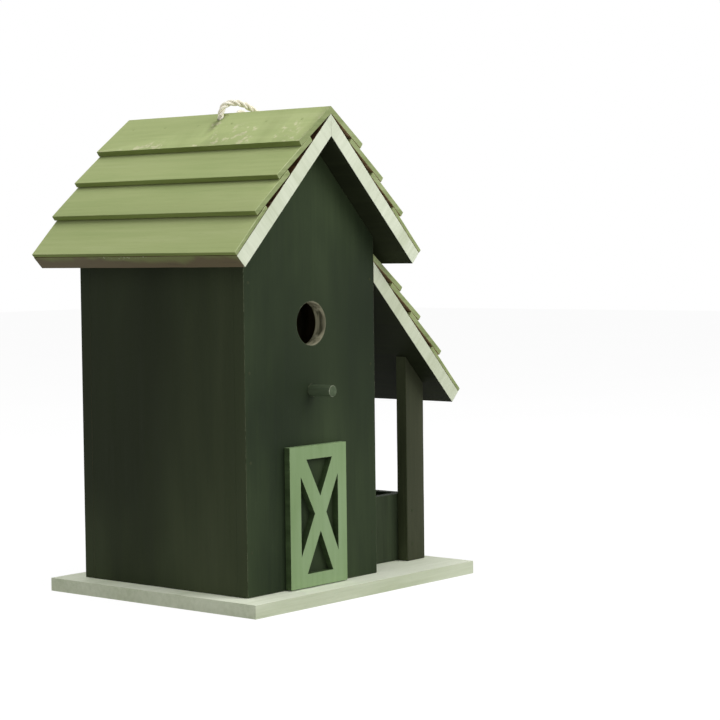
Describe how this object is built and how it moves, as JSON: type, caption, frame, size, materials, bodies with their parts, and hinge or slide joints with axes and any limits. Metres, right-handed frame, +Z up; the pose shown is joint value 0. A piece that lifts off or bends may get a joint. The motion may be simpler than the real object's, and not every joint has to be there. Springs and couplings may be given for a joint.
{
  "type": "birdhouse",
  "caption": "Wooden gabled nest box on a base board, with a round entrance, a perch, a lean-to porch over a trough, a rope loop and a hinged rear clean-out door.",
  "frame": {"origin": "centre of the base board's underside", "axes": "+Z up; -Y is the front, with the entrance; +X is the side with the porch"},
  "size_m": [0.2838, 0.211, 0.3704],
  "materials": {
    "cream_paint": "brushed chalky cream paint on solid wood, matt, rubbed edges",
    "wall_paint": "dark green paint and stain on solid wood, satin, with upright grain",
    "sage_paint": "sage green brushed paint on solid wood, matt, grain lengthwise",
    "roof_edge_paint": "cream front edge, dark green underside, bare wood on top",
    "trim_paint": "mid green paint on board, matt",
    "zinc_hardware": "zinc-plated steel, slightly dull",
    "brad_steel": "small steel nails, painted over",
    "natural_rope": "three-strand natural fibre rope"
  },
  "bodies": {
    "house": {"base_plate": "cream_paint", "front_wall": "wall_paint", "back_wall": "wall_paint", "left_wall": "wall_paint", "right_wall": "wall_paint", "perch_dowel": "wall_paint", "barn_door_trim": "trim_paint", "roof_panel_left": "roof_edge_paint", "shingle_left_1": "sage_paint", "shingle_left_2": "sage_paint", "shingle_left_3": "sage_paint", "shingle_left_4": "sage_paint", "roof_panel_right": "roof_edge_paint", "shingle_right_1": "sage_paint", "shingle_right_2": "sage_paint", "shingle_right_3": "sage_paint", "shingle_right_4": "sage_paint", "porch_roof_panel": "roof_edge_paint", "porch_shingle_1": "sage_paint", "porch_shingle_2": "sage_paint", "porch_shingle_3": "sage_paint", "porch_shingle_4": "sage_paint", "porch_post_front": "wall_paint", "porch_post_rear": "wall_paint", "trough_front_panel": "wall_paint", "trough_rear_panel": "wall_paint", "trough_side_panel": "wall_paint", "hinge_wall_leaves": "zinc_hardware", "hinge_pins": "zinc_hardware", "hinge_wall_screws": "zinc_hardware", "turn_button_screw": "zinc_hardware", "wall_brads": "brad_steel", "roof_brads": "brad_steel", "shingle_brads": "brad_steel", "base_screws": "zinc_hardware", "hanging_rope": "natural_rope", "rope_knots": "natural_rope"},
    "door": {"cleanout_door": "wall_paint", "door_knob": "trim_paint", "hinge_door_leaves": "zinc_hardware", "hinge_door_screws": "zinc_hardware"},
    "button": {"turn_button": "trim_paint"}
  },
  "joints": [
    {"name": "door_swing", "type": "hinge", "parent": "house", "child": "door", "pos_m": [-0.08225, 0.0884, 0.084], "axis": [0, 0, 1], "range_deg": [0, 105]},
    {"name": "turn_button_turn", "type": "hinge", "parent": "house", "child": "button", "pos_m": [0.018, 0.0883, 0.084], "axis": [0, 1, 0], "range_deg": [0, 90]}
  ]
}
